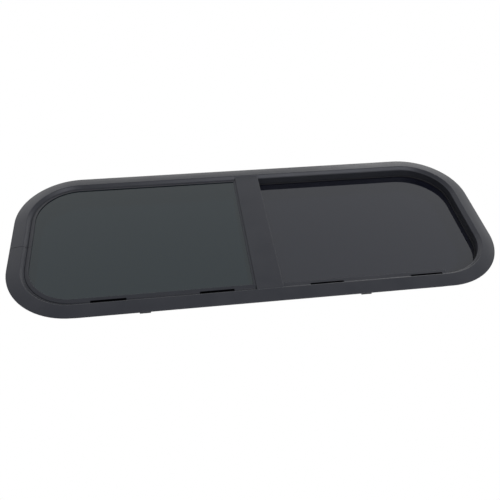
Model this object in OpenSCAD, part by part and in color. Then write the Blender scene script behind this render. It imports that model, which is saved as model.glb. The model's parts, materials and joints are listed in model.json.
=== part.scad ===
// Camper van half-sliding window with a one-piece bent flange.
// X runs along the width seen from outside, Z is up and outside is towards -Y.
// The origin is the centre of the window on the wall plane, the back of the flange.
// Sections are drawn as inset u from the outer edge and depth y behind the wall plane.

/* [Overall] */
// overall width of the flange
frame_w = 750; // [600:1:1000]
// overall height of the flange
frame_h = 302; // [260:1:450]
// outer corner radius of the flange
corner_r = 100; // [80:1:120]

/* [Flange section] */
// distance of the ridge from the inner face of the neck
ridge_in = 6.1; // [5:0.1:8]
// height of the ridge in front of the wall plane
ridge_h = 5.4; // [4.8:0.1:6.5]
// rounding of the ridge
ridge_r = 1.6; // [1:0.1:2.4]
// radius of the gently curved outer slope
slope_r = 110; // [100:1:160]
// tilt of the outer slope where it meets the ridge
slope_tilt = 6.5; // [5:0.1:8]
// width of the flat ledge inside the ridge
ledge_w = 1.5; // [1:0.1:2.2]
// tilt of the ledge
ledge_tilt = 20; // [10:1:30]
// height of the ledge above the wall plane at the inner face of the neck
lip_h = 0.8; // [0.5:0.05:1.2]
// rounding of the lip
lip_r = 0.4; // [0.3:0.1:0.6]
// thickness of the flange skin
skin_t = 1.8; // [1.4:0.1:2]
// width of the solid outer rim of the flange
rim_w = 2.4; // [2:0.1:4]
// distance of the rib behind the flange from the outer face of the neck
rib_in = 11.8; // [9.8:0.1:14.2]
// thickness of that rib
rib_t = 1.4; // [1:0.1:2]

/* [Neck section] */
// inset of the inner face of the neck
neck_u = 25.8; // [25:0.1:28]
// wall thickness of the neck
neck_t = 2; // [1.6:0.1:2.1]
// how far the track groove reaches out from the inner face of the neck
track_in = 5.4; // [4.5:0.1:6.5]
// wall thickness of the track groove
track_t = 1.6; // [1.2:0.1:2]
// distance from the wall plane to the front of the rear web
web_y = 28.6; // [28:0.1:34]
// thickness of the rear web and legs
web_t = 1.5; // [1.2:0.1:1.8]
// how far the rear legs run back past the insect screen
leg_over = 0.3; // [0.2:0.1:2]
// distance of the outer rear leg from the inner face of the neck
leg_in = 4; // [3.3:0.1:5]
// thickness of the inner rear leg
inner_leg_t = 1.3; // [1:0.1:1.6]
// chamfer on the outer rear corner of the neck
neck_chamfer = 1.4; // [0.5:0.1:1.6]

/* [Drain slots] */
// length of each drain slot in the lower lip
slot_len = 50; // [30:1:60]
// metal left under the drain slots in the wall of the neck
slot_floor = 0.7; // [0.5:0.1:1]
// height of the drain slots above the inner face of the neck
slot_rise = 1.4; // [1:0.1:2]
// depth of the drain slots behind the wall plane
slot_d = 3.4; // [2:0.1:5]
// distance from the centre of the outer left slot to the left corners
slot_end1 = 48; // [35:1:75]
// distance from the centre of the inner left slot to the mullion
slot_mid1 = 57; // [44:1:84]
// distance from the centre of the inner right slot to the mullion
slot_mid2 = 66; // [46:0.5:86]
// distance from the centre of the outer right slot to the right corners
slot_end2 = 32.4; // [30:0.1:75]

/* [Fixed pane] */
// thickness of the fixed pane
pane_t = 4; // [3:0.5:5]
// distance of the edge of the fixed pane from the inner face of the neck
pane_in = 2.4; // [1.8:0.1:3.2]
// height of the front of the fixed pane in front of the wall plane
pane_h = 1.8; // [1:0.1:2.4]
// how far the gasket and the sill reach in from the inner face of the neck
gasket_w = 6.8; // [5.6:0.1:10]
// height of the tip of the gasket in front of the wall plane
gasket_h = 3.3; // [2.8:0.1:4]
// inset of the step at the foot of the gasket's face
face_step = 1; // [0.6:0.1:1.5]
// height of that step in front of the wall plane
face_step_h = 1.6; // [1.2:0.1:2.2]
// rounding of the tip of the gasket
tip_r = 0.5; // [0.3:0.1:0.8]
// how far the rear lip of the gasket and the bead reach in from that face
rear_lip_w = 5.8; // [4.8:0.1:7]
// thickness of the gasket behind the pane
gasket_back = 1.6; // [1:0.1:2]
// gap between the glazing bead and the depth of the run channel
bead_clear = 1.6; // [1:0.1:3]
// wall thickness of the glazing bead
bead_t = 1.5; // [1.2:0.1:2]
// gap between the edge of the fixed pane and the mullion
pane_gap = 1.2; // [0.8:0.1:2]
// gap between the ends of the glazing bead and the mullion
bead_gap = 2; // [0.5:0.5:4]

/* [Mullion] */
// left face of the mullion
mullion_x0 = -16; // [-25:0.5:-5]
// width of the mullion face
mullion_w = 39.5; // [30:0.5:45]
// height of the mullion face in front of the wall plane
mullion_h = 4.4; // [3:0.1:4.6]
// distance between the back of the mullion and the front of the stile
mullion_gap = 3.55; // [2.9:0.05:4.3]
// wall thickness of the mullion
mullion_t = 1.6; // [1.4:0.1:2]
// rounding of the front edges of the mullion
mullion_r = 0.8; // [0.4:0.1:1.2]
// set-back of the left chamber wall behind the face
mullion_step = 5; // [3:0.5:6]
// reach of the flange that carries the fixed pane
rest_w = 9; // [7:0.5:12]
// width of the seal strip over the edge of the fixed pane
seal_w = 3.4; // [2.5:0.1:5]
// height of that strip in front of the wall plane
seal_h = 2.9; // [2.5:0.1:3.4]
// outer radius of the screw ports in the mullion
port_r = 3.1; // [2.8:0.1:3.4]
// depth of the screw ports behind the wall plane
port_y = 3.6; // [3.5:0.1:4]
// distance of the screw ports from the side walls of the mullion
port_inset = 8; // [6:0.5:10]
// thickness of the web that carries the screw ports
port_web = 1.2; // [1:0.1:2]
// radius of the mullion screw shanks
screw_r = 1.9; // [1.5:0.1:2]
// length of the mullion screws
screw_len = 18; // [12:1:25]
// height of the tapered head of the mullion screws
head_h = 1.6; // [1.2:0.1:2]
// set-back of the pile strip from the right face of the mullion
pile_inset = 2.7; // [2:0.1:4]
// width of the pile strip
pile_w = 3.2; // [2.5:0.1:4]
// depth of the groove that holds the pile strip
groove_d = 1; // [0.8:0.1:1.4]
// distance of the hook on the back of the mullion from its right face
hook_in = 17; // [14:0.5:20]
// clearance in front of the hooks that lock mullion and stile together
hook_clear = 0.75; // [0.4:0.05:1]

/* [Sliding pane] */
// thickness of the sliding pane
slider_t = 3.2; // [3:0.1:4]
// front of the sliding pane behind the wall plane
slider_y = 12.6; // [12:0.1:14]
// how far the sliding pane reaches to the left behind the mullion
slider_lap = 31.5; // [26:0.5:38]
// play between the hooks of the mullion and the stile
hook_gap = 2; // [1:0.5:3]
// clearance of the edge of the sliding pane in its channel
edge_gap = 0.35; // [0.2:0.05:0.8]
// wall thickness of the run channel
run_t = 1.2; // [1:0.1:1.5]
// distance of the run channel's ends from the left corners
run_end = 2; // [0:0.5:10]
// how far the lips of the run channel reach past the inner face of the neck
fin_w = 1.8; // [1.2:0.1:3]
// wall thickness of the sill below the sliding pane
sill_t = 1.4; // [1:0.1:2]
// length of the sill's foot behind the wall plane
sill_foot = 8; // [6:0.5:9]
// gap below the rear lip of the sill
sill_gap = 1.6; // [1:0.1:2.5]
// width of the stile on the leading edge of the sliding pane
stile_w = 20; // [16:0.5:24]
// wall thickness of the stile
stile_t = 1.4; // [1.2:0.1:1.5]
// length of the stops for the open pane
stop_len = 10; // [6:1:16]
// running clearance of the moving pieces
run_gap = 0.3; // [0.2:0.05:0.4]

/* [Insect screen] */
// distance of the insect screen frame from the latch body
screen_clear = 7.5; // [5:0.5:12]
// clearance round the screen frame
screen_gap = 0.5; // [0.3:0.1:1]
// width of the screen frame members
screen_w = 13; // [10:0.5:16]
// depth of the screen frame
screen_d = 5; // [4:0.1:5.2]
// wall of the rim that holds the mesh and its cord
screen_lip = 1.6; // [1.2:0.1:2]
// thickness of the mesh
mesh_t = 0.4; // [0.3:0.05:0.6]
// width of the step that carries the mesh and its cord
screen_step = 5; // [4:0.5:7]
// width of the cord that holds the mesh in its groove
cord_w = 2.2; // [1.8:0.1:2.6]
// length of the finger pull on the screen
pull_len = 40; // [30:1:60]
// distance of the finger pull from the left edge of the screen frame
pull_inset = 1; // [0.5:0.5:3]
// width of the finger pull
pull_w = 6; // [5:0.5:8]
// height of the finger pull
pull_h = 4.5; // [3:0.5:6]
// distance of the left clip and keeper from the left edge of the screen
clip_in1 = 56; // [36:1:100]
// distance of the right clip and keeper from the right corners
clip_in2 = 18; // [15:1:60]
// width of a screen clip
clip_w = 9; // [7:0.5:12]
// thickness of a screen clip
clip_t = 2; // [1.5:0.1:3]
// radius of the clip screws
clip_screw_r = 1.2; // [1:0.1:1.4]
// radius of the heads of the clip screws
clip_head_r = 2.2; // [1.8:0.1:2.6]
// height of the heads of the clip screws
clip_head_h = 1.1; // [0.9:0.1:1.4]
// length of a screen keeper
keeper_len = 30; // [20:1:60]
// thickness of a screen keeper
keeper_t = 1.5; // [1.2:0.1:2]
// how far the keepers reach over the screen frame
keeper_reach = 4; // [3:0.5:6]

/* [Fittings] */
// width of a spacer pad under the neck
pad_w = 16; // [12:0.5:20]
// thickness of a spacer pad
pad_t = 1; // [0.8:0.1:2]
// distance of the spacer pads from the back of the rear web
pad_back = 0.4; // [0:0.1:2]
// centre of the left spacer pad
pad_x1 = -177.9; // [-200:0.1:-150]
// centre of the right spacer pad
pad_x2 = 153.6; // [130:0.1:180]
// length of the latch body
latch_h = 62; // [50:1:80]
// width of the latch body
latch_w = 13; // [12:0.5:14]
// depth of the latch body
latch_d = 6.5; // [5.5:0.1:7]
// thickness of the latch cheeks and ends
latch_t = 2; // [1.5:0.1:2.5]
// distance of the latch from the left edge of the stile
latch_in = 9.45; // [7.5:0.05:11]
// radius of the pivot barrel of the latch lever
barrel_r = 2.2; // [1.8:0.1:2.6]
// height of the joint seam above the middle of the left side
seam_z = -6.5; // [-20:0.5:20]
// width of that seam
seam_gap = 0.2; // [0.1:0.05:0.4]
// length of the splice plate behind the seam
splice_len = 60; // [40:1:80]
// width of the splice plate
splice_w = 5; // [4:0.5:6]
// thickness of the splice plate
splice_t = 1.5; // [1.2:0.1:1.8]
// radius of the set screws in the splice plate
pin_r = 1.3; // [1:0.1:1.6]
// distance of the inner set screws from the seam
pin_z1 = 8; // [5:1:10]
// distance of the outer set screws from the seam
pin_z2 = 20; // [16:1:24]

/* [Hidden] */
$fn = 96;
// small gap between seated pieces
fit = 0.05;
// lap of shapes that are joined
lap = 0.1;
// slack added to cutting shapes
cut = 1;
// length used for cutting shapes that run past the section
far = 40;
half_w = frame_w / 2;
half_h = frame_h / 2;
// straight run lengths between the corner arcs
run_x = frame_w - 2 * corner_r;
run_z = frame_h - 2 * corner_r;
neck_out = neck_u - neck_t;
// insets that follow the faces of the neck
ridge_u = neck_u - ridge_in;
rib_u = neck_out - rib_in;
track_u = neck_u - track_in;
pane_u = neck_u + pane_in;
gasket_u = neck_u + gasket_w;
rear_lip_u = neck_u + rear_lip_w;
fin_u = neck_u + fin_w;
// plane where the neck meets the flange, just in front of the wall plane
join_y = -0.3;
// centre of the ridge rounding
ridge_c = [ridge_u, ridge_r - ridge_h];
// corner where the inner slope meets the ledge
ledge_c = [neck_u - ledge_w, -lip_h - ledge_w * tan(ledge_tilt)];
ledge_v = ledge_c - ridge_c;
// tilt of the line from that corner that touches the ridge rounding
inner_tilt = atan2(ledge_v[1], ledge_v[0]) + asin(ridge_r / norm(ledge_v));
// outward normals of the slopes and of the ledge, in u and y
slope_n = [-sin(slope_tilt), -cos(slope_tilt)];
inner_n = [sin(inner_tilt), -cos(inner_tilt)];
inner_d = [cos(inner_tilt), sin(inner_tilt)];
ledge_n = [sin(ledge_tilt), -cos(ledge_tilt)];
slope_c = ridge_c - (slope_r - ridge_r) * slope_n;
ridge_p0 = ridge_c + ridge_r * slope_n;
ridge_p1 = ridge_c + ridge_r * inner_n;
// rim round that touches the outer slope, the outer edge and the wall plane
edge_b = 2 * (slope_c[1] - slope_c[0] + slope_r);
edge_k = slope_c[1] * slope_c[1] + slope_c[0] * slope_c[0] - slope_r * slope_r;
edge_r = (sqrt(edge_b * edge_b - 4 * edge_k) - edge_b) / 2;
edge_u = slope_c[0] - (slope_c[0] - edge_r) * slope_r / (slope_r - edge_r);
// lip round that touches the ledge and the inner face of the neck
lip_c = [neck_u - lip_r, lip_r * (1 - sin(ledge_tilt)) / cos(ledge_tilt) - lip_h];
lip_p = lip_c + lip_r * ledge_n;
slot_u = neck_out + slot_floor;
seat_u = neck_u + fit;
// rear legs, with room for the shanks of the clip screws between them
leg_u = neck_u + leg_in;
inner_leg_u = leg_u + web_t + 2 * (clip_screw_r + fit);
inner_leg_end = inner_leg_u + inner_leg_t;
groove_u = (leg_u + web_t + inner_leg_u) / 2;
// splice plate between the rib and the neck
splice_gap = 1;
splice_u0 = rib_u + rib_t + splice_gap;
splice_u1 = splice_u0 + splice_w;
splice_y = -0.1;
// fixed pane, gasket and bead positions
pane_front = -pane_h;
pane_back = pane_front + pane_t;
pane_x1 = mullion_x0 - pane_gap;
gasket_rear = pane_back + fit + gasket_back;
bead_y0 = gasket_rear + fit;
mullion_x1 = mullion_x0 + mullion_w;
port_x1 = mullion_x0 + mullion_step + port_inset;
port_x2 = mullion_x1 - port_inset;
// head of the mullion screws, at its small and large end
head_r1 = screw_r + 0.7;
head_r2 = screw_r + 1.5;
// middle of each drain slot along the bottom
slots = [slot_end1 - run_x / 2, mullion_x0 - slot_mid1,
    mullion_x1 + slot_mid2, run_x / 2 - slot_end2];
// groove of the pile strip in the back of the mullion
groove_fit = 0.1;
pile_x0 = mullion_x1 - pile_inset - pile_w;
groove_x0 = pile_x0 - groove_fit;
// sliding pane, run channel, groove and stile positions
slider_back = slider_y + slider_t;
run_y0 = slider_y - run_gap - run_t;
run_y1 = slider_back + run_gap + run_t;
bead_y1 = run_y0 - bead_clear;
track_y0 = run_y0 - fit - track_t;
track_y1 = run_y1 + fit + track_t;
run_u = track_u + track_t + fit;
slider_u = run_u + run_t + edge_gap;
slider_x0 = mullion_x1 - slider_lap;
run_x0 = -run_x / 2 + run_end;
stile_half = half_h - fin_u - 2 * run_gap;
stile_x0 = slider_x0 - fit - stile_t;
stile_front = slider_y - fit - stile_t;
stile_back = slider_back + fit + stile_t;
// back of the mullion and the hooks between it and the stile
mullion_back = stile_front - mullion_gap;
hook_x = mullion_x1 - hook_in;
hook_d = mullion_gap - hook_clear;
// insect screen positions
latch_x = stile_x0 + latch_in;
screen_x0 = latch_x + latch_w / 2 + screen_clear;
screen_u = inner_leg_end + screen_gap;
screen_y0 = web_y + web_t + run_gap;
screen_y1 = screen_y0 + screen_d;
leg_y = screen_y1 + leg_over;
clip_y = leg_y + fit + clip_t;
keeper_y = leg_y + fit + keeper_t;
// middle of each clip above and of each keeper below the screen
clip_x = [screen_x0 + clip_in1, run_x / 2 - clip_in2];
mesh_y = screen_y0 + screen_lip;
mesh_u = screen_u + screen_w - screen_step;
mesh_x = screen_x0 + screen_w - screen_step;
mesh_fit = 0.1;
cord_drop = 0.6;
// latch positions, the lever lies in the pocket of the body
latch_y0 = stile_back + fit;
latch_y1 = latch_y0 + latch_d;
pocket_w = latch_w - 2 * latch_t;
pocket_h = latch_h - 2 * latch_t - latch_w / 2;
barrel_z = pocket_h / 2 - barrel_r - run_gap;
barrel_y = latch_y1 - barrel_r + lap;
pocket_y = barrel_y - barrel_r - run_gap;

// section pushed along the bottom of the window between two X positions
module rail(x0, x1) {
    translate([x1, 0, -half_h])
        rotate([0, -90, 0])
            linear_extrude(x1 - x0) children();
}

// carries a section round the rounded rectangle of the window
module sweep() {
    rail(-run_x / 2, run_x / 2) children();
    mirror([0, 0, 1]) rail(-run_x / 2, run_x / 2) children();
    for (sx = [-1, 1]) {
        scale([sx, 1, 1])
            rotate([0, -90, 0])
                translate([0, 0, half_h - half_w])
                    rail(-run_z / 2, run_z / 2) children();
        for (sz = [-1, 1])
            scale([sx, 1, sz])
                translate([run_x / 2, 0, -run_z / 2])
                    rotate([-90, 0, 0])
                        rotate_extrude(angle = 90)
                            translate([corner_r, 0]) mirror([1, 0]) children();
    }
}

// keeps what lies between two X positions
module between(x0, x1) {
    intersection() {
        children();
        box(x0, x1, -far, 2 * far, -half_h - cut, half_h + cut);
    }
}

// flat outline with the frame's corners at inset u
module outline(u) {
    r = corner_r - u;
    square([run_x, frame_h - 2 * u], center = true);
    square([frame_w - 2 * u, run_z], center = true);
    for (sx = [-1, 1])
        for (sz = [-1, 1])
            translate([sx * run_x / 2, sz * run_z / 2]) circle(r);
}

// outline cut to the part between two X positions
module outline_part(u, x0, x1) {
    intersection() {
        outline(u);
        translate([x0, -half_h]) square([x1 - x0, frame_h]);
    }
}

// plate drawn in X and Z and standing between two depths
module slab(y0, y1) {
    translate([0, y1, 0])
        rotate([90, 0, 0])
            linear_extrude(y1 - y0) children();
}

// box given by its low and high corners
module box(x0, x1, y0, y1, z0, z1) {
    translate([x0, y0, z0]) cube([x1 - x0, y1 - y0, z1 - z0]);
}

// rectangle of the section, given by inset and depth limits
module bar(u0, u1, y0, y1) {
    translate([u0, y0]) square([u1 - u0, y1 - y0]);
}

// half plane behind the inner slope, moved back by a given amount
module behind_slope(back) {
    p = ridge_p1 - back * inner_n;
    polygon([p - far * inner_d, p + far * inner_d,
        p + far * inner_d - far * inner_n, p - far * inner_d - far * inner_n]);
}

// outer slope, ridge, inner slope, ledge and lip, filled back to the wall plane
module flange_outline() {
    intersection() {
        translate(slope_c) circle(slope_r);
        union() {
            bar(edge_u, edge_r + lap, -2 * ridge_h, -edge_r);
            bar(edge_r, ridge_p0[0], -2 * ridge_h, 0);
        }
    }
    polygon([[ridge_p0[0], 0], ridge_p0, ridge_c, ridge_p1, ledge_c, lip_p, lip_c,
        [neck_u, lip_c[1]], [neck_u, 0]]);
    translate([edge_r, -edge_r]) circle(edge_r);
    translate(ridge_c) circle(ridge_r);
    translate(lip_c) circle(lip_r);
}

// flange skin with its hollow back, rim and rib
module flange_section() {
    difference() {
        flange_outline();
        intersection() {
            translate(slope_c) circle(slope_r - skin_t);
            behind_slope(skin_t);
            bar(rim_w, neck_out, -2 * ridge_h, cut);
        }
        bar(neck_out - neck_t, neck_u + cut, join_y, cut);
    }
    intersection() {
        translate(slope_c) circle(slope_r - skin_t / 2);
        bar(rib_u, rib_u + rib_t, -2 * ridge_h, 0);
    }
}

// slots through the lip, the wall of the neck and what seats on them
module drain_slots() {
    for (x = slots)
        box(x - slot_len / 2, x + slot_len / 2, -2 * ridge_h, slot_d,
            -half_h + slot_u, -half_h + neck_u + slot_rise);
}

// slit where the two ends of the bent section meet
module seam() {
    box(-half_w - cut, -half_w + inner_leg_end + cut, -2 * ridge_h, leg_y + cut,
        seam_z - seam_gap / 2, seam_z + seam_gap / 2);
}

module outer_frame() {
    color([0.16, 0.16, 0.17])
    difference() {
        sweep() flange_section();
        drain_slots();
        seam();
    }
}

// neck with the track groove, rear web and the two legs that hold the inside trim
module neck_section() {
    difference() {
        union() {
            bar(neck_out, neck_u, join_y + fit, web_y + web_t);
            bar(track_u, neck_u, track_y0, track_y1);
        }
        bar(track_u + track_t, neck_u + cut, track_y0 + track_t, track_y1 - track_t);
        translate([neck_out, web_y + web_t]) rotate(45)
            square(neck_chamfer * sqrt(2), center = true);
    }
    bar(neck_u - lap, inner_leg_end, web_y, web_y + web_t);
    bar(leg_u, leg_u + web_t, web_y + web_t - lap, leg_y);
    bar(inner_leg_u, inner_leg_end, web_y + web_t - lap, leg_y);
}

module neck_ring() {
    color([0.15, 0.15, 0.16])
    difference() {
        sweep() neck_section();
        drain_slots();
        seam();
        for (sz = [-1, 1])
            for (x = [port_x1, port_x2])
                translate([x, port_y, sz * (half_h - neck_out - neck_t / 2)])
                    cylinder(h = 2 * neck_t, r = screw_r + fit, center = true);
    }
}

// plate in the hollow behind the ridge that ties the two ends of the bent section
module joint_splice() {
    color([0.7, 0.7, 0.72])
    difference() {
        box(-half_w + splice_u0, -half_w + splice_u1, splice_y - splice_t, splice_y,
            seam_z - splice_len / 2, seam_z + splice_len / 2);
        splice_pins(pin_r, splice_y - splice_t - cut, splice_y + cut);
    }
}

// four set screws through the plate, two on each side of the seam
module splice_pins(r, y0, y1) {
    slab(y0, y1)
        for (z = [-pin_z2, -pin_z1, pin_z1, pin_z2])
            translate([-half_w + (splice_u0 + splice_u1) / 2, seam_z + z]) circle(r);
}

// set screws with a hexagon socket that opens to the back
module splice_screws() {
    socket_r = 0.75;
    socket_d = 1;
    color([0.75, 0.75, 0.77])
    difference() {
        splice_pins(pin_r - fit, splice_y - splice_t + fit, splice_y);
        splice_pins(socket_r, splice_y - socket_d, splice_y + cut, $fn = 6);
    }
}

module fixed_glass() {
    color([0.1, 0.12, 0.12, 0.8])
    slab(pane_front, pane_back)
        outline_part(pane_u, -half_w, pane_x1);
}

// visible face of the gasket and the sill, from the lip up to the rounded tip
function face_points() = [[seat_u, lip_c[1]], [seat_u + face_step, -face_step_h],
    [gasket_u - tip_r, -gasket_h], [gasket_u, tip_r - gasket_h]];

// channel section round the edge of the pane with a sloping outer face
module gasket_section() {
    difference() {
        union() {
            polygon(concat(face_points(), [[gasket_u, 0], [seat_u, 0]]));
            translate([gasket_u - tip_r, tip_r - gasket_h]) circle(tip_r);
        }
        bar(pane_u - fit, far, pane_front - fit, cut);
    }
    bar(seat_u, pane_u - fit, -lap, gasket_rear);
    bar(pane_u - fit - lap, rear_lip_u, pane_back + fit, gasket_rear);
}

module fixed_gasket() {
    color([0.05, 0.05, 0.05])
    difference() {
        between(-half_w, mullion_x0 - fit)
            sweep() gasket_section();
        drain_slots();
    }
}

// open profile: sloped front, top wall with a rear lip and a foot on the neck
module sill_section() {
    wall_y = tip_r - gasket_h;
    polygon(concat(face_points(), [[gasket_u, wall_y + sill_t],
        [seat_u + face_step, sill_t - face_step_h], [seat_u, sill_t + lip_c[1]]]));
    translate([gasket_u - tip_r, wall_y]) circle(tip_r);
    bar(gasket_u - sill_t, gasket_u, wall_y, run_y0 - fit);
    bar(seat_u + sill_t + sill_gap, gasket_u, run_y0 - fit - sill_t, run_y0 - fit);
    bar(seat_u, seat_u + sill_t, lip_c[1], sill_foot);
}

// sill strip that closes the front of the lower track below the sliding pane
module drain_sill() {
    color([0.16, 0.16, 0.17])
    difference() {
        rail(mullion_x1 + fit, run_x / 2) sill_section();
        drain_slots();
    }
}

module glazing_bead() {
    color([0.12, 0.12, 0.12])
    between(-half_w, mullion_x0 - rest_w - bead_gap)
        sweep() {
            union() {
                bar(seat_u, rear_lip_u, bead_y0, bead_y0 + bead_t);
                bar(seat_u, seat_u + bead_t, bead_y0, bead_y1);
            }
        }
}

// plan section of the mullion drawn in X and Y
module mullion_section() {
    x2 = mullion_x0 + mullion_step;
    front_y = mullion_r - mullion_h;
    difference() {
        union() {
            translate([mullion_x0 + mullion_r, -mullion_h])
                square([mullion_w - 2 * mullion_r, mullion_t]);
            translate([mullion_x0, front_y])
                square([mullion_w, mullion_t - mullion_r]);
            for (x = [mullion_x0 + mullion_r, mullion_x1 - mullion_r])
                translate([x, front_y]) circle(mullion_r);
            translate([x2, front_y])
                square([mullion_x1 - x2, mullion_back - front_y]);
            translate([mullion_x0 - rest_w, bead_y0])
                square([x2 - mullion_x0 + rest_w + lap, mullion_t]);
        }
        difference() {
            translate([x2 + mullion_t, mullion_t - mullion_h])
                square([mullion_x1 - x2 - 2 * mullion_t,
                    mullion_back + mullion_h - 2 * mullion_t]);
            translate([x2, port_y - port_web / 2]) square([mullion_x1 - x2, port_web]);
            for (x = [port_x1, port_x2])
                translate([x, port_y]) circle(port_r);
        }
        for (x = [port_x1, port_x2])
            translate([x, port_y]) circle(screw_r + fit);
        translate([groove_x0, mullion_back - groove_d])
            square([pile_w + 2 * groove_fit, groove_d + cut]);
    }
}

// what the mullion ends must stay clear of: inner slope, lip and neck wall
module end_cope() {
    p = ridge_p1 + fit * inner_n;
    rail(-far, far)
        polygon([p - far * inner_d, ledge_c - [0, 2 * fit], [seat_u, -lip_h - 2 * fit],
            [seat_u, far], [-cut, far], [-cut, p[1] - far * inner_d[1]]]);
}

module mullion() {
    color([0.16, 0.16, 0.17])
    union() {
        difference() {
            translate([0, 0, -half_h + ridge_u])
                linear_extrude(frame_h - 2 * ridge_u) mullion_section();
            end_cope();
            mirror([0, 0, 1]) end_cope();
        }
        box(hook_x, hook_x + mullion_t, mullion_back - lap, mullion_back + hook_d,
            -stile_half, stile_half);
    }
}

// soft strip that closes the edge of the fixed pane against the mullion
module mullion_seal() {
    x1 = mullion_x0 - fit;
    x0 = x1 - seal_w;
    seal_half = half_h - gasket_u - fit;
    color([0.05, 0.05, 0.05])
    translate([0, 0, -seal_half])
        linear_extrude(2 * seal_half)
            difference() {
                translate([x0, -seal_h]) square([seal_w, gasket_rear + seal_h]);
                translate([x0 - cut, pane_front - fit])
                    square([pane_x1 + fit - x0 + cut, pane_t + 2 * fit]);
            }
}

module mullion_pile() {
    color([0.08, 0.08, 0.08])
    box(pile_x0, pile_x0 + pile_w, mullion_back - groove_d + fit, slider_y - 2 * fit,
        -stile_half, stile_half);
}

// cross recess of a screw head
module cross(width) {
    reach = 4 * width;
    square([reach, width], center = true);
    square([width, reach], center = true);
}

// screws through the neck into the ports of the mullion
module mullion_screws() {
    recess_w = 0.9;
    recess_d = 1.1;
    color([0.5, 0.5, 0.52])
    for (sz = [-1, 1])
        for (x = [port_x1, port_x2])
            translate([x, port_y, sz * (half_h - neck_out + fit)])
                rotate([sz < 0 ? 0 : 180, 0, 0])
                    difference() {
                        union() {
                            translate([0, 0, -head_h])
                                cylinder(h = head_h, r1 = head_r1, r2 = head_r2);
                            translate([0, 0, -lap]) cylinder(h = screw_len, r = screw_r);
                        }
                        translate([0, 0, -head_h - cut])
                            linear_extrude(cut + recess_d) cross(recess_w);
                    }
}

// flocked channel in the track groove that guides the sliding pane
module run_channel() {
    color([0.04, 0.04, 0.04])
    between(run_x0, half_w)
        sweep()
            difference() {
                bar(run_u, fin_u, run_y0, run_y1);
                bar(run_u + run_t, fin_u + cut, run_y0 + run_t, run_y1 - run_t);
            }
}

module slider_stops() {
    color([0.06, 0.06, 0.06])
    for (sz = [-1, 1])
        scale([1, 1, sz])
            box(run_x0 + fit, run_x0 + stop_len, run_y0 + run_t + fit, run_y1 - run_t - fit,
                half_h - fin_u, half_h - run_u - run_t - fit);
}

module slider_glass() {
    color([0.12, 0.12, 0.13, 0.8])
    slab(slider_y, slider_back)
        outline_part(slider_u, slider_x0, half_w);
}

// channel on the leading edge of the sliding pane with its hook
module slider_stile() {
    color([0.16, 0.16, 0.17])
    translate([0, 0, -stile_half])
        linear_extrude(2 * stile_half) {
            translate([stile_x0, stile_front])
                square([stile_t, stile_back - stile_front]);
            translate([stile_x0, stile_front]) square([stile_w, stile_t]);
            translate([stile_x0, slider_back + fit]) square([stile_w, stile_t]);
            translate([hook_x - hook_gap - stile_t, stile_front - hook_d + run_gap])
                square([stile_t, hook_d]);
        }
}

// rounded bar of a given length and width, drawn upright
module stadium(h, w) {
    square([w, h - w], center = true);
    for (sz = [-1, 1])
        translate([0, sz * (h - w) / 2]) circle(w / 2);
}

// latch housing on the stile: open pocket between two cheeks
module latch_body() {
    color([0.07, 0.07, 0.07])
    translate([latch_x, 0, 0])
    difference() {
        slab(latch_y0, latch_y1) stadium(latch_h, latch_w);
        slab(pocket_y, latch_y1 + cut)
            square([pocket_w, pocket_h], center = true);
        pivot(latch_t, fit);
    }
}

// pivot pin of the lever, longer and thicker by the given amounts
module pivot(longer, thicker) {
    translate([0, barrel_y, barrel_z])
        rotate([0, 90, 0])
            cylinder(h = pocket_w + longer, r = barrel_r / 2 + thicker, center = true);
}

// curved thumb lever with a pivot barrel, drawn in Y and Z and pushed along X
module latch_lever() {
    lever_w = pocket_w - 2 * run_gap;
    end_gap = 1;
    lever_z = end_gap - pocket_h / 2;
    lever_t = barrel_r + 2;
    thumb_r = 26;
    thumb_z = (lever_z + barrel_z) / 2 + 2;
    thin_t = 0.4;
    color([0.09, 0.09, 0.09])
    translate([latch_x, 0, 0]) {
        translate([-lever_w / 2, 0, 0])
            rotate([90, 0, 90])
                linear_extrude(lever_w)
                    difference() {
                        union() {
                            translate([barrel_y, barrel_z]) circle(barrel_r);
                            translate([latch_y1 - barrel_r, lever_z])
                                square([lever_t, barrel_z - lever_z]);
                        }
                        translate([latch_y1 + thumb_r + thin_t, thumb_z])
                            circle(thumb_r);
                    }
        pivot(latch_t - 2 * fit, 0);
    }
}

// thin frame with a step that holds the mesh and its cord
module screen_frame() {
    color([0.14, 0.14, 0.15])
    difference() {
        slab(screen_y0, screen_y1)
            outline_part(screen_u, screen_x0, half_w);
        slab(screen_y0 - cut, screen_y1 + cut)
            outline_part(screen_u + screen_w, screen_x0 + screen_w, half_w);
        slab(mesh_y, screen_y1 + cut)
            outline_part(mesh_u, mesh_x, half_w);
    }
}

module screen_mesh() {
    color([0.2, 0.2, 0.2, 0.6])
    slab(mesh_y + fit, mesh_y + fit + mesh_t)
        outline_part(mesh_u + mesh_fit, mesh_x + mesh_fit, half_w);
}

module screen_cord() {
    color([0.05, 0.05, 0.05])
    slab(mesh_y + 2 * fit + mesh_t, screen_y1 - cord_drop)
        difference() {
            outline_part(mesh_u + mesh_fit, mesh_x + mesh_fit, half_w);
            outline_part(mesh_u + mesh_fit + cord_w, mesh_x + mesh_fit + cord_w, half_w);
        }
}

// finger pull with a hollowed grip side
module screen_pull() {
    grip_r = 7;
    grip_d = 2;
    grip_shift = 0.5;
    color([0.07, 0.07, 0.07])
    translate([screen_x0 + pull_inset, screen_y1 + fit, -pull_len / 2])
        linear_extrude(pull_len)
            difference() {
                square([pull_w, pull_h]);
                translate([pull_w + grip_r - grip_d, pull_h / 2 + grip_shift])
                    circle(grip_r);
            }
}

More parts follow.
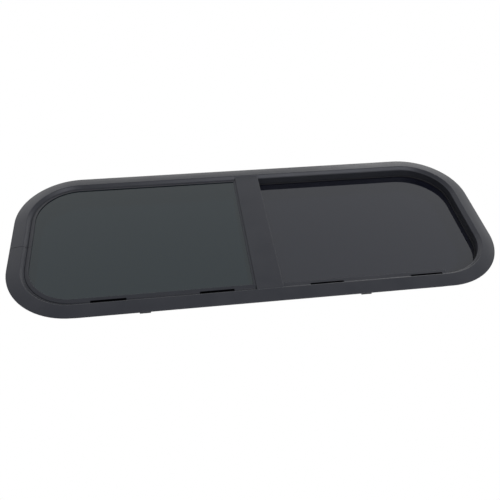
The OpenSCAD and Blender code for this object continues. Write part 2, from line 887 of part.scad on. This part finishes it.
// turn clips over the groove between the rear legs that hold the screen in place
module screen_clips() {
    reach = screen_u + clip_w - groove_u;
    tail = clip_w / 3;
    color([0.07, 0.07, 0.07])
    clip_places()
        slab(leg_y + fit, clip_y)
            difference() {
                translate([0, tail - reach / 2]) stadium(reach + tail, clip_w);
                circle(clip_screw_r + fit);
            }
}

// places its child at each clip screw above the screen
module clip_places() {
    for (x = clip_x)
        translate([x, 0, half_h - groove_u]) children();
}

// screws of the clips, reaching into the groove between the rear legs
module clip_screws() {
    recess_w = 0.6;
    recess_d = 0.8;
    head_y = clip_y + fit + clip_head_h;
    color([0.6, 0.6, 0.62])
    clip_places()
        difference() {
            union() {
                slab(web_y + web_t + fit, head_y) circle(clip_screw_r);
                slab(clip_y + fit, head_y) circle(clip_head_r);
            }
            slab(head_y - recess_d, head_y + cut) cross(recess_w);
        }
}

// hooks pressed into the groove between the lower rear legs, over the screen frame
module screen_keepers() {
    foot_y = web_y + web_t + fit;
    color([0.07, 0.07, 0.07])
    for (x = clip_x)
        rail(x - keeper_len / 2, x + keeper_len / 2) {
            bar(leg_u + web_t + fit, inner_leg_u - fit, foot_y, leg_y);
            bar(groove_u, inner_leg_u - fit, foot_y, keeper_y);
            bar(groove_u, screen_u + keeper_reach, leg_y + fit, keeper_y);
        }
}

module pad(x) {
    box(x - pad_w / 2, x + pad_w / 2, track_y1 + fit, web_y + web_t - pad_back,
        -half_h + neck_out - pad_t - fit, -half_h + neck_out - fit);
}

module pad_left() {
    color([0.08, 0.08, 0.08]) pad(pad_x1);
}

module pad_right() {
    color([0.08, 0.08, 0.08]) pad(pad_x2);
}

outer_frame();
neck_ring();
joint_splice();
splice_screws();
fixed_glass();
fixed_gasket();
glazing_bead();
drain_sill();
mullion();
mullion_seal();
mullion_pile();
mullion_screws();
run_channel();
slider_stops();
slider_glass();
slider_stile();
latch_body();
latch_lever();
screen_frame();
screen_mesh();
screen_cord();
screen_pull();
screen_clips();
clip_screws();
screen_keepers();
pad_left();
pad_right();
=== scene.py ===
"""Looks for a black half-sliding camper window: coats, glass, rubber, mesh and small details.

Lengths are in metres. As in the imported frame, X runs along the width seen from outside,
Z is up and the outside is towards -Y.
"""

import json
import math
import random

import bmesh
import bpy
from mathutils import Matrix, Vector


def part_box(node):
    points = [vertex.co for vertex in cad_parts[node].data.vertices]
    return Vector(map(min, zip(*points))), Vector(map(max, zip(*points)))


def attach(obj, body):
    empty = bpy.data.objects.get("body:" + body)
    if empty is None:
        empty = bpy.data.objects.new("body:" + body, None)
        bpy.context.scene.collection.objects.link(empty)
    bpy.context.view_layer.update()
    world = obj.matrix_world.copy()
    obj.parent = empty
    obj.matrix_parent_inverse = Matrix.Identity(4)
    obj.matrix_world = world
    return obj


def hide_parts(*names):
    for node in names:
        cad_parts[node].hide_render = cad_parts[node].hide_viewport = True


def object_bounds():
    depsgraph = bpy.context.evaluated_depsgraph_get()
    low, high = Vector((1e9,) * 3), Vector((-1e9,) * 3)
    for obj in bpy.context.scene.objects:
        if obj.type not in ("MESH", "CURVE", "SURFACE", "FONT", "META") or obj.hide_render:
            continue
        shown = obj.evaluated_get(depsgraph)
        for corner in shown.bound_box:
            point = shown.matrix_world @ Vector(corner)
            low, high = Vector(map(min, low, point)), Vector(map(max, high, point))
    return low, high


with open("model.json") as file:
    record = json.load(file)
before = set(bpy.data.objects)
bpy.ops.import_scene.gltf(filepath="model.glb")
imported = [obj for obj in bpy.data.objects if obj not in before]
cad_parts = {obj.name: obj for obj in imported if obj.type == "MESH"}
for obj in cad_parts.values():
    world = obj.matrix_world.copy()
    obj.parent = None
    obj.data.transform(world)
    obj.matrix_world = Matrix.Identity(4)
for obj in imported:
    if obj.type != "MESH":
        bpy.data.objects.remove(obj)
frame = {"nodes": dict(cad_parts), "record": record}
CAD_LOW, CAD_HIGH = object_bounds()
MM = 0.001

# Butt joint in the left flange
SEAM_Z = -6.5 * MM  # its height
SEAM_X = -340 * MM  # where it ends towards the pane
SEAM_CORE = 0.18 * MM  # half width of its line at full strength
SEAM_EDGE = 0.4 * MM  # half width at which the line has faded out

# Drain slots and the painted shade that darkens the space inside them
SLOT_MIDDLES = [-227 * MM, -73 * MM, 89.5 * MM, 242.6 * MM]  # along the sill
SLOT_HALF = 25.03 * MM  # half their length
SLOT_Z = -124.75 * MM  # middle of the painted shade
SLOT_REACH = 1.78 * MM  # half its height
SLOT_DEEP = 3.5 * MM  # how far it goes behind the wall plane
# painted shade: near-black colour laid inside the drain slots
SLOT_PAINTED_SHADE = (0.002, 0.002, 0.003, 1.0)

# Noise
NOISE_LOW, NOISE_HIGH = 0.3, 0.7  # range that its values mostly fall into

# Coats, rubber and plastic
PAINTED_REFLECTION_TINT = (0.86, 0.89, 1.0, 1.0)  # bluish tint of their gloss, a painted reflection of bluish surroundings
COAT_PATCH = 45 * MM  # size of the patches in tone and roughness
COAT_DRIFT = (-0.03, 0.04)  # how far the roughness drifts down and up
COAT_PEEL, COAT_PEEL_HEIGHT = 1.4 * MM, 0.03 * MM
COAT_SPECK, COAT_SPECK_HEIGHT = 0.3 * MM, 0.008 * MM
SOFT_PATCH = 25 * MM
SOFT_DRIFT = (-0.04, 0.05)
PLASTIC_SHINE = 0.5  # specular level of bare plastic

# Glass
GLASS_CLEAR = 0.5  # share of the body that lets light through, the rest being dark
GLASS_IOR = 1.53
GLASS_SMEAR = 70 * MM  # size of the smears in its polish
GLASS_ROUGH = (0.0, 0.03)
GLASS_WAVE, GLASS_WAVE_HEIGHT = 90 * MM, 0.02 * MM

# Bare metal
METAL_LINE, METAL_LINE_HEIGHT = 0.25 * MM, 0.006 * MM
METAL_DRIFT = (-0.06, 0.08)

# Insect mesh
MESH_CORNER = 56.3 * MM  # radius of its rounded corners
MESH_PITCH = 1.8 * MM
MESH_WAVE = 0.09 * MM  # swing of a wire to either side
MESH_WIRE = 0.11 * MM  # scale of a wire's section
WIRE_SECTION = [(-1.3, -0.5), (1.3, -0.5), (0, 1.0)]  # its corners, across and in depth

# Pile strip
PILE_SEED = 7
PILE_STEP = 0.36 * MM  # spacing of the fibres
PILE_SCATTER = 0.3  # how far a fibre stands off its place, as a share of the spacing
PILE_FIBRE = 0.07 * MM  # radius of a fibre at its root
PILE_SIDES = 3
PILE_LEAN = 0.5 * MM  # most that a tip leans to a side
PILE_SHORT = (0.05 * MM, 0.9 * MM)  # least and most that a fibre is short
PILE_ROOTED = 0.2 * MM  # how deep a root sits in the backing
PILE_BACKING = 1.6 * MM  # thickness of the backing
PILE_EDGE = 0.3 * MM  # how much is taken off its edges

# Grip ribs of the latch lever
RIB_COUNT = 6
RIB_START = 2.2 * MM  # first rib, from the lever's lower end
RIB_STEP = 1.7 * MM
RIB_LENGTH = 7.4 * MM
RIB_R = 0.45 * MM
RIB_SUNK = 0.1 * MM  # how far a rib's middle lies below the lever's surface
RIB_SIDES = 12
RIB_RINGS = [(-1, 0.35), (-0.97, 0.8), (-0.92, 1), (0.92, 1), (0.97, 0.8), (1, 0.35)]  # place and radius

# Sill strip
SILL_INNER = [(-1.11 * MM, -119.8 * MM), (-0.28 * MM, -123.75 * MM)]  # inner corners of its front, y and z
SILL_NEAR = 0.06 * MM  # how near to a corner counts as there
SILL_WALL = 1.0 * MM  # how far those corners move back
SILL_FLUSH = -0.5 * MM  # depth that the front is laid back to
SILL_SLOPE = 0.1  # share of its former height in front of that depth that it keeps
SILL_SLOT_Z = -123.8 * MM  # top edge of the slots
SILL_SLOT_DEEP = -1.0 * MM  # only points in front of this depth are raised
SILL_SLOT_RISE = 0.8 * MM  # how far they are raised

# Front of the flange's section, as inset from its outer edge and depth
SLOPE_R = 110 * MM  # radius of the outer slope
SLOPE_U, SLOPE_Y = 31.971 * MM, 103.903 * MM  # centre of its arc
INNER_U, INNER_Y = 20.9 * MM, -4.95 * MM  # a point just in front of the inner slope
INNER_FALL = 1.06  # how fast the inner slope falls back

# Sealant in the butt joint
SEALANT_INSETS = [inset * MM for inset in (1.5, 4, 8, 12, 16, 19, 20.4, 22, 24)]
SEALANT_HALF = 0.08 * MM  # half its width
SEALANT_DROP = 0.3 * MM  # how far it is sunk behind the flange's front
SEALANT_DEPTH = 1.0 * MM

# Rounded edges
EDGE_SEGMENTS = 2
EDGE_ANGLE = 50  # edges that turn by more degrees than this are rounded
SOFT_EDGES = {
    "fixed_glass": 0.3 * MM,
    "slider_glass": 0.3 * MM,
    "pad_left": 0.25 * MM,
    "pad_right": 0.25 * MM,
    "slider_stops": 0.5 * MM,
    "screen_keepers": 0.3 * MM,
    "latch_body": 0.4 * MM,
    "screen_clips": 0.35 * MM,
    "screen_pull": 0.4 * MM,
    "screen_frame": 0.3 * MM,
    "slider_stile": 0.25 * MM,
    "mullion_seal": 0.3 * MM,
}

# Camera, fitted to the photograph
CAMERA_AT = Vector((-0.136495, -0.680468, -0.712712))
CAMERA_FORWARD = Vector((0.12735, 0.70809, 0.69455))
CAMERA_UP = Vector((0.07444, -0.70510, 0.70519))
CAMERA_LENS = 44.9345  # millimetres
CAMERA_SENSOR = 36  # millimetres
CAMERA_NEAR = 0.01

# Floor
FLOOR_Z = -2.0
FLOOR_HALF = 6.0  # half its width
FLOOR_PATCH = 0.4
FLOOR_DARK = (0.86, 0.86, 0.86)
FLOOR_LIGHT = (0.9, 0.9, 0.9)
FLOOR_ROUGH = 0.7

# Light
AMBIENT = 0.6  # strength of the fill from all around
LAMP_DISTANCE = 2.2
LAMP_COLOUR = (1.0, 0.985, 0.96)
LAMP_UP = Vector((0, 1, 0.1))
LAMPS = [  # degrees from the outward axis, degrees from +X towards +Z, width, watts
    ("front_key", 42, 285, 0.9, 15.2),
    ("front_right", 50, 315, 0.9, 9.7),
    ("upper_right", 72, 60, 0.9, 4.0),
    ("lip_light", 85, 67, 0.3, 0.8),
    ("upper_left", 72, 120, 0.9, 3.0),
    ("top_edge", 86, 90, 0.9, 2.6),
    ("right_edge", 86, 30, 0.9, 4.6),
    ("rear_soft", 135, 110, 0.9, 12),
]

MATERIALS = {}


# Shader nodes

def new_material(name):
    """Keeps a new node material under its name; returns its tree and its Principled shader."""
    material = bpy.data.materials.new(name)
    material.use_nodes = True
    MATERIALS[name] = material
    return material.node_tree, material.node_tree.nodes["Principled BSDF"]


def coordinates(tree, stretch=(1, 1, 1)):
    """Object coordinates in metres, stretched per axis."""
    source = tree.nodes.new("ShaderNodeTexCoord")
    mapping = tree.nodes.new("ShaderNodeMapping")
    mapping.inputs["Scale"].default_value = stretch
    tree.links.new(source.outputs["Object"], mapping.inputs["Vector"])
    return mapping.outputs["Vector"]


def grain(tree, size, detail, stretch=(1, 1, 1)):
    """Noise whose cells are about the given size in metres."""
    texture = tree.nodes.new("ShaderNodeTexNoise")
    texture.inputs["Scale"].default_value = 1 / size
    texture.inputs["Detail"].default_value = detail
    tree.links.new(coordinates(tree, stretch), texture.inputs["Vector"])
    return texture.outputs["Fac"]


def ranged(tree, source, from_low, from_high, to_low, to_high):
    """Maps one range of values to another and holds the ends."""
    node = tree.nodes.new("ShaderNodeMapRange")
    node.inputs["From Min"].default_value = from_low
    node.inputs["From Max"].default_value = from_high
    node.inputs["To Min"].default_value = to_low
    node.inputs["To Max"].default_value = to_high
    tree.links.new(source, node.inputs["Value"])
    return node.outputs["Result"]


def roughened(tree, shader, source, low, high):
    """Roughness between two values, steered by a noise."""
    rough = ranged(tree, source, NOISE_LOW, NOISE_HIGH, low, high)
    tree.links.new(rough, shader.inputs["Roughness"])


def tinted(tree, source, dark, light):
    """Colour between two tones, steered by a noise."""
    ramp = tree.nodes.new("ShaderNodeValToRGB")
    first, last = ramp.color_ramp.elements
    first.position, last.position = NOISE_LOW, NOISE_HIGH
    first.color, last.color = (*dark, 1), (*light, 1)
    tree.links.new(source, ramp.inputs["Fac"])
    return ramp.outputs["Color"]


def bumps(tree, shader, layers):
    """Stacks bump layers, each a noise with its height in metres."""
    normal = None
    for source, height in layers:
        bump = tree.nodes.new("ShaderNodeBump")
        bump.inputs["Distance"].default_value = height
        tree.links.new(source, bump.inputs["Height"])
        if normal is not None:
            tree.links.new(normal, bump.inputs["Normal"])
        normal = bump.outputs["Normal"]
    tree.links.new(normal, shader.inputs["Normal"])


def math_node(tree, operation, *values):
    """Output of one Math node; a value is a number or another node's output."""
    node = tree.nodes.new("ShaderNodeMath")
    node.operation = operation
    for slot, value in enumerate(values):
        if isinstance(value, (int, float)):
            node.inputs[slot].default_value = value
        else:
            tree.links.new(value, node.inputs[slot])
    return node.outputs["Value"]


def on_seam(tree, place):
    """1 on the butt joint of the left flange, fading to 0 beside it."""
    away = math_node(tree, "ABSOLUTE", math_node(tree, "SUBTRACT", place.outputs["Z"], SEAM_Z))
    line = ranged(tree, away, SEAM_CORE, SEAM_EDGE, 1.0, 0.0)
    left = math_node(tree, "LESS_THAN", place.outputs["X"], SEAM_X)
    return math_node(tree, "MULTIPLY", line, left)


def painted_slot_shade(tree, place):
    """1 where shade is painted inside the drain slots, 0 elsewhere."""
    along = 0.0
    for middle in SLOT_MIDDLES:
        within = math_node(tree, "COMPARE", place.outputs["X"], middle, SLOT_HALF)
        along = math_node(tree, "MAXIMUM", along, within)
    level = math_node(tree, "COMPARE", place.outputs["Z"], SLOT_Z, SLOT_REACH)
    shallow = math_node(tree, "LESS_THAN", place.outputs["Y"], SLOT_DEEP)
    return math_node(tree, "MULTIPLY", along, math_node(tree, "MULTIPLY", level, shallow))


def dark_seam_and_painted_slot_shade(tree, shader, colour, specular):
    """Base colour and gloss, both turned down on the seam's dark line, and painted shade inside the drain
    slots.
    """
    place = tree.nodes.new("ShaderNodeSeparateXYZ")
    tree.links.new(coordinates(tree), place.inputs["Vector"])
    # the seam's dark line together with the painted shade in the drain slots
    seam_line_and_slot_shade = math_node(tree, "MAXIMUM", on_seam(tree, place), painted_slot_shade(tree, place))
    mix = tree.nodes.new("ShaderNodeMix")
    mix.data_type = "RGBA"
    mix.inputs["B"].default_value = SLOT_PAINTED_SHADE
    tree.links.new(seam_line_and_slot_shade, mix.inputs["Factor"])
    tree.links.new(colour, mix.inputs["A"])
    tree.links.new(mix.outputs["Result"], shader.inputs["Base Color"])
    gloss = ranged(tree, seam_line_and_slot_shade, 0.0, 1.0, specular, 0.0)
    tree.links.new(gloss, shader.inputs["Specular IOR Level"])


# Materials

def black_skin(name, tones, rough, patch, drift, specular, seam_and_slot_shade):
    """Black surface whose tone and roughness change a little from patch to patch."""
    tree, shader = new_material(name)
    patches = grain(tree, patch, 3)
    colour = tinted(tree, patches, *tones)
    roughened(tree, shader, patches, rough + drift[0], rough + drift[1])
    shader.inputs["Specular IOR Level"].default_value = specular
    # painted reflection: a bluish tint laid on the gloss
    shader.inputs["Specular Tint"].default_value = PAINTED_REFLECTION_TINT
    # where asked: the seam's dark line and painted shade in the drain slots
    if seam_and_slot_shade:
        dark_seam_and_painted_slot_shade(tree, shader, colour, specular)
    else:
        tree.links.new(colour, shader.inputs["Base Color"])
    return tree, shader


def powder_coat(name, tones, rough, specular, seam_and_slot_shade=False):
    """Satin powder coat with orange peel and a fine grain."""
    tree, shader = black_skin(name, tones, rough, COAT_PATCH, COAT_DRIFT, specular, seam_and_slot_shade)
    peel = grain(tree, COAT_PEEL, 1)
    speck = grain(tree, COAT_SPECK, 2)
    bumps(tree, shader, [(peel, COAT_PEEL_HEIGHT), (speck, COAT_SPECK_HEIGHT)])


def soft_black(name, tones, rough, cell, height, specular=PLASTIC_SHINE, sheen=0.0,
               stretch=(1, 1, 1), seam_and_slot_shade=False):
    """Rubber, flock or moulded plastic with a grain of the given cell size and height."""
    tree, shader = black_skin(name, tones, rough, SOFT_PATCH, SOFT_DRIFT, specular, seam_and_slot_shade)
    shader.inputs["Sheen Weight"].default_value = sheen
    bumps(tree, shader, [(grain(tree, cell, 2, stretch), height)])


def dark_glass(name, body, sheen):
    """Polished toughened glass with a dark body that lets little light through."""
    tree, shader = new_material(name)
    # painted reflection: the sheen tint makes the glass's reflections bluish
    shader.inputs["Specular Tint"].default_value = (*sheen, 1)
    shader.inputs["Base Color"].default_value = (*body, 1)
    shader.inputs["Transmission Weight"].default_value = GLASS_CLEAR
    shader.inputs["IOR"].default_value = GLASS_IOR
    roughened(tree, shader, grain(tree, GLASS_SMEAR, 2), *GLASS_ROUGH)
    bumps(tree, shader, [(grain(tree, GLASS_WAVE, 0), GLASS_WAVE_HEIGHT)])


def bare_metal(name, tones, rough, stretch):
    """Bare or plated metal with drawn lines along one axis."""
    tree, shader = new_material(name)
    lines = grain(tree, METAL_LINE, 3, stretch)
    tree.links.new(tinted(tree, lines, *tones), shader.inputs["Base Color"])
    roughened(tree, shader, lines, rough + METAL_DRIFT[0], rough + METAL_DRIFT[1])
    shader.inputs["Metallic"].default_value = 1.0
    bumps(tree, shader, [(lines, METAL_LINE_HEIGHT)])


def make_materials():
    """Every material of the window; tones are its darkest and lightest colour."""
    # frame coat and gasket rubber carry the seam's dark line and painted shade in the drain slots
    powder_coat(
        "frame_coat", [(0.011, 0.012, 0.016), (0.016, 0.017, 0.021)],
        rough=0.4, specular=0.345, seam_and_slot_shade=True)
    powder_coat(
        "screen_coat", [(0.016, 0.016, 0.018), (0.022, 0.022, 0.024)],
        rough=0.45, specular=0.35)
    # the panes' sheen tints are painted bluish reflection
    dark_glass("fixed_pane", body=(0.003, 0.009, 0.014), sheen=(0.89, 0.98, 1.0))
    dark_glass("sliding_pane", body=(0.008, 0.009, 0.018), sheen=(0.92, 0.955, 1.0))
    soft_black(
        "gasket_rubber", [(0.009, 0.01, 0.013), (0.013, 0.014, 0.018)],
        rough=0.48, cell=0.35 * MM, height=0.012 * MM, specular=0.36, seam_and_slot_shade=True)
    soft_black(
        "run_rubber", [(0.003, 0.003, 0.004), (0.006, 0.006, 0.008)],
        rough=0.9, cell=0.18 * MM, height=0.06 * MM, specular=0.3, sheen=0.1)
    soft_black(
        "black_pile", [(0.006, 0.006, 0.006), (0.014, 0.014, 0.014)],
        rough=0.9, cell=0.12 * MM, height=0.2 * MM, specular=0.3, sheen=0.4, stretch=(1, 0.1, 1))
    soft_black(
        "bead_plastic", [(0.012, 0.012, 0.013), (0.018, 0.018, 0.018)],
        rough=0.5, cell=0.4 * MM, height=0.01 * MM)
    soft_black(
        "latch_plastic", [(0.016, 0.016, 0.017), (0.022, 0.022, 0.023)],
        rough=0.45, cell=0.3 * MM, height=0.02 * MM)
    soft_black(
        "pad_plastic", [(0.012, 0.012, 0.013), (0.018, 0.018, 0.018)],
        rough=0.55, cell=0.5 * MM, height=0.015 * MM)
    soft_black(
        "screen_mesh", [(0.03, 0.03, 0.03), (0.045, 0.045, 0.045)],
        rough=0.5, cell=0.2 * MM, height=0.01 * MM)
    bare_metal(
        "bare_aluminium", [(0.6, 0.6, 0.62), (0.78, 0.78, 0.8)],
        rough=0.35, stretch=(1, 1, 0.04))
    bare_metal(
        "plated_screws", [(0.5, 0.5, 0.49), (0.68, 0.68, 0.67)],
        rough=0.3, stretch=(1, 1, 1))


def dress(thing, material):
    """Gives an object one material."""
    thing.data.materials.clear()
    thing.data.materials.append(MATERIALS[material])


def dress_nodes():
    """Gives each CAD node the material of its slot, and each pane a glass of its own."""
    panes = {"fixed_glass": "fixed_pane", "slider_glass": "sliding_pane"}
    for part in frame["record"]["subparts"]:
        node = part["node"]
        dress(frame["nodes"][node], panes.get(node, part["material_slot"]))


# Pieces of real geometry

def link(thing):
    """Puts an object into the scene."""
    bpy.context.scene.collection.objects.link(thing)
    return thing


def add_piece(name, data, slot):
    """An object with the given mesh, dressed and carried by the frame."""
    piece = link(bpy.data.objects.new(name, data))
    dress(piece, slot)
    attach(piece, "root")
    return piece


def mesh_piece(name, points, faces, slot, smooth=True):
    """A piece from points in metres, with its faces turned outward."""
    data = bpy.data.meshes.new(name)
    data.from_pydata(points, [], faces)
    outward = bmesh.new()
    outward.from_mesh(data)
    bmesh.ops.recalc_face_normals(outward, faces=outward.faces)
    outward.to_mesh(data)
    outward.free()
    data.polygons.foreach_set("use_smooth", [smooth] * len(data.polygons))
    return add_piece(name, data, slot)


def tube_faces(first, rings, sides):
    """Faces of a tube of rings with closed ends, counted from the first point."""
    faces = []
    for ring in range(rings - 1):
        for side in range(sides):
            a = first + ring * sides + side
            b = first + ring * sides + (side + 1) % sides
            faces.append((a, b, b + sides, a + sides))
    faces.append(tuple(first + side for side in reversed(range(sides))))
    faces.append(tuple(first + (rings - 1) * sides + side for side in range(sides)))
    return faces


def corner_reach(beyond):
    """How far a wire that lies a given way into a rounded corner of the screen runs into it."""
    return math.sqrt(MESH_CORNER ** 2 - max(0.0, beyond) ** 2)


def wire_piece(name, paths, across_axis):
    """One set of the mesh's wires, each along a path of points and flattened across it."""
    points, faces = [], []
    for path in paths:
        faces += tube_faces(len(points), len(path), len(WIRE_SECTION))
        for centre in path:
            for across, depth in WIRE_SECTION:
                points.append(centre + MESH_WIRE * (across * across_axis + depth * Vector((0, 1, 0))))
    piece = mesh_piece(name, points, faces, "screen_mesh")
    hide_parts("screen_mesh")


def insect_mesh():
    """Undulating wires along X and along Z, plain woven, in place of the plain sheet."""
    low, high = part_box("screen_mesh")
    middle_y = (low.y + high.y) / 2
    corner_x, corner_z = high.x - MESH_CORNER, high.z - MESH_CORNER
    count_x = int((high.x - low.x) / MESH_PITCH)
    count_z = int((high.z - low.z) / MESH_PITCH)
    columns = [low.x + (i + 0.5) * MESH_PITCH for i in range(count_x)]
    rows = [(i + 0.5 - count_z / 2) * MESH_PITCH for i in range(count_z)]
    weft, warp = [], [[] for _ in columns]
    for row, z in enumerate(rows):
        right_end = corner_x + corner_reach(abs(z) - corner_z) - MESH_WIRE
        weft.append([])
        for column, x in enumerate(columns):
            swing = MESH_WAVE if (row + column) % 2 == 0 else -MESH_WAVE
            if x < right_end:
                weft[row].append(Vector((x, middle_y + swing, z)))
            if abs(z) < corner_z + corner_reach(x - corner_x) - MESH_WIRE:
                warp[column].append(Vector((x, middle_y - swing, z)))
    wire_piece("mesh_weft", weft, Vector((0, 0, 1)))
    wire_piece("mesh_warp", warp, Vector((1, 0, 0)))


def pile_fibres(low, high, root):
    """Upright fibres of the pile strip, each a slim leaning spike."""
    rng = random.Random(PILE_SEED)
    points, faces = [], []
    for row in range(int((high.z - low.z) / PILE_STEP)):
        for column in range(int((high.x - low.x) / PILE_STEP)):
            x = low.x + (column + 0.5 + rng.uniform(-PILE_SCATTER, PILE_SCATTER)) * PILE_STEP
            z = low.z + (row + 0.5 + rng.uniform(-PILE_SCATTER, PILE_SCATTER)) * PILE_STEP
            tip_x = min(max(x + rng.uniform(-PILE_LEAN, PILE_LEAN), low.x), high.x)
            tip_z = min(max(z + rng.uniform(-PILE_LEAN, PILE_LEAN), low.z), high.z)
            tip_y = high.y - rng.uniform(*PILE_SHORT)
            first = len(points)
            tip = first + PILE_SIDES
            for side in range(PILE_SIDES):
                angle = 2 * math.pi * side / PILE_SIDES + row
                points.append((
                    x + PILE_FIBRE * math.cos(angle), root - PILE_ROOTED, z + PILE_FIBRE * math.sin(angle)))
                faces.append((first + side, first + (side + 1) % PILE_SIDES, tip))
            points.append((tip_x, tip_y, tip_z))
            faces.append(tuple(first + side for side in reversed(range(PILE_SIDES))))
    return mesh_piece("pile_fibres", points, faces, "black_pile", False)


def pile_backing(low, high, root):
    """Backing of the pile strip, with its two front edges taken off."""
    section = [
        (low.x, low.y),
        (high.x, low.y),
        (high.x, root - PILE_EDGE),
        (high.x - PILE_EDGE, root),
        (low.x + PILE_EDGE, root),
        (low.x, root - PILE_EDGE),
    ]
    points = [(x, y, z) for z in (low.z, high.z) for x, y in section]
    return mesh_piece("pile_backing", points, tube_faces(0, 2, len(section)), "black_pile", False)


def pile_strip():
    """Backing and fibres in place of the plain solid of the pile strip."""
    low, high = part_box("mullion_pile")
    root = low.y + PILE_BACKING
    for piece in (pile_fibres(low, high, root), pile_backing(low, high, root)):
        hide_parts("mullion_pile")


def lever_ribs():
    """Rounded grip ribs across the thumb end of the latch lever."""
    low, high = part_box("latch_lever")
    y = high.y - RIB_SUNK
    middle = (low.x + high.x) / 2
    points, faces = [], []
    for rib in range(RIB_COUNT):
        z = low.z + RIB_START + rib * RIB_STEP
        faces += tube_faces(len(points), len(RIB_RINGS), RIB_SIDES)
        for end, share in RIB_RINGS:
            x = middle + end * RIB_LENGTH / 2
            for side in range(RIB_SIDES):
                angle = 2 * math.pi * side / RIB_SIDES
                points.append((x, y + share * RIB_R * math.sin(angle), z + share * RIB_R * math.cos(angle)))
    mesh_piece("lever_ribs", points, faces, "latch_plastic")


def sill_strip():
    """The sill strip with its front laid back flush with the lip, so that light reaches the ledge."""
    data = frame["nodes"]["drain_sill"].data.copy()
    data.name = "sill_strip"
    for vertex in data.vertices:
        y, z = vertex.co.y, vertex.co.z
        if abs(z - SILL_SLOT_Z) < SILL_NEAR / 2 and y < SILL_SLOT_DEEP:
            vertex.co.z = z + SILL_SLOT_RISE
        if any(abs(y - at_y) < SILL_NEAR and abs(z - at_z) < SILL_NEAR for at_y, at_z in SILL_INNER):
            vertex.co.y = y + SILL_WALL
        elif y < SILL_FLUSH:
            vertex.co.y = SILL_FLUSH + (y - SILL_FLUSH) * SILL_SLOPE
    piece = add_piece("sill_strip", data, "frame_coat")
    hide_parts("drain_sill")


def flange_front(inset):
    """Depth of the flange's front at an inset from its outer edge."""
    slope = SLOPE_Y - math.sqrt(SLOPE_R ** 2 - (inset - SLOPE_U) ** 2)
    inner = INNER_Y + (inset - INNER_U) * INNER_FALL
    return max(slope, inner)


def seam_sealant():
    """Black sealant that closes the slit of the butt joint just behind the flange's front."""
    front = [(CAD_LOW[0] + inset, flange_front(inset) + SEALANT_DROP) for inset in SEALANT_INSETS]
    back = [(x, y + SEALANT_DEPTH) for x, y in reversed(front)]
    section = front + back
    points = [(x, y, SEAM_Z + side * SEALANT_HALF) for side in (-1, 1) for x, y in section]
    mesh_piece("seam_sealant", points, tube_faces(0, 2, len(section)), "gasket_rubber", False)


def soften_edges():
    """Rounds the sharp edges of moulded, ground and sawn parts."""
    for node, width in SOFT_EDGES.items():
        bevel = frame["nodes"][node].modifiers.new("edge", "BEVEL")
        bevel.width = width
        bevel.segments = EDGE_SEGMENTS
        bevel.limit_method = "ANGLE"
        bevel.angle_limit = math.radians(EDGE_ANGLE)
        bevel.harden_normals = True


# Camera, lights and floor

def aim(thing, forward, up):
    """Turns a camera or lamp to look along forward."""
    forward = forward.normalized()
    side = forward.cross(up).normalized()
    top = side.cross(forward)
    turn = Matrix((side, top, -forward)).transposed().to_4x4()
    thing.matrix_world = Matrix.Translation(thing.location) @ turn


def make_camera():
    """The photograph's camera, outside and below, which looks up at the window's outer side."""
    data = bpy.data.cameras.new("camera")
    data.lens = CAMERA_LENS
    data.sensor_width = CAMERA_SENSOR
    data.clip_start = CAMERA_NEAR
    camera = link(bpy.data.objects.new("camera", data))
    camera.location = CAMERA_AT
    aim(camera, CAMERA_FORWARD, CAMERA_UP)
    bpy.context.scene.camera = camera


def make_lamp(name, from_front, turn, size, power):
    """A soft square lamp aimed at the window, placed by two angles in degrees."""
    data = bpy.data.lights.new(name, "AREA")
    data.shape = "SQUARE"
    data.size = size
    data.energy = power
    data.color = LAMP_COLOUR
    lamp = link(bpy.data.objects.new(name, data))
    tilt, roll = math.radians(from_front), math.radians(turn)
    outward = Vector((math.sin(tilt) * math.cos(roll), -math.cos(tilt), math.sin(tilt) * math.sin(roll)))
    lamp.location = LAMP_DISTANCE * outward
    aim(lamp, -outward, LAMP_UP)
    lamp.visible_camera = False
    lamp.visible_transmission = False


def background(tree, strength):
    """A white background of the given strength."""
    node = tree.nodes.new("ShaderNodeBackground")
    node.inputs["Color"].default_value = (1, 1, 1, 1)
    node.inputs["Strength"].default_value = strength
    return node.outputs["Background"]


def make_world():
    """White surroundings for what the camera, gloss and glass see, and a plain fill light."""
    world = bpy.data.worlds.new("studio")
    bpy.context.scene.world = world
    world.use_nodes = True
    tree = world.node_tree
    tree.nodes.clear()
    path = tree.nodes.new("ShaderNodeLightPath")
    seen = path.outputs["Is Camera Ray"]
    for kind in ("Is Glossy Ray", "Is Transmission Ray"):
        seen = math_node(tree, "MAXIMUM", seen, path.outputs[kind])
    mix = tree.nodes.new("ShaderNodeMixShader")
    out = tree.nodes.new("ShaderNodeOutputWorld")
    tree.links.new(seen, mix.inputs["Fac"])
    tree.links.new(background(tree, AMBIENT), mix.inputs[1])
    tree.links.new(background(tree, 1.0), mix.inputs[2])
    tree.links.new(mix.outputs["Shader"], out.inputs["Surface"])


def make_floor():
    """A plain pale floor well below the window."""
    data = bpy.data.meshes.new("floor")
    corners = [(-1, -1), (1, -1), (1, 1), (-1, 1)]
    data.from_pydata([(x * FLOOR_HALF, y * FLOOR_HALF, FLOOR_Z) for x, y in corners], [], [(0, 1, 2, 3)])
    floor = link(bpy.data.objects.new("floor", data))
    tree, shader = new_material("floor")
    colour = tinted(tree, grain(tree, FLOOR_PATCH, 2), FLOOR_DARK, FLOOR_LIGHT)
    tree.links.new(colour, shader.inputs["Base Color"])
    shader.inputs["Roughness"].default_value = FLOOR_ROUGH
    dress(floor, "floor")


make_materials()
dress_nodes()
insect_mesh()
pile_strip()
lever_ribs()
sill_strip()
seam_sealant()
soften_edges()

make_camera()
make_world()
make_floor()
for lamp in LAMPS:
    make_lamp(*lamp)
bpy.context.scene.view_settings.view_transform = "Standard"
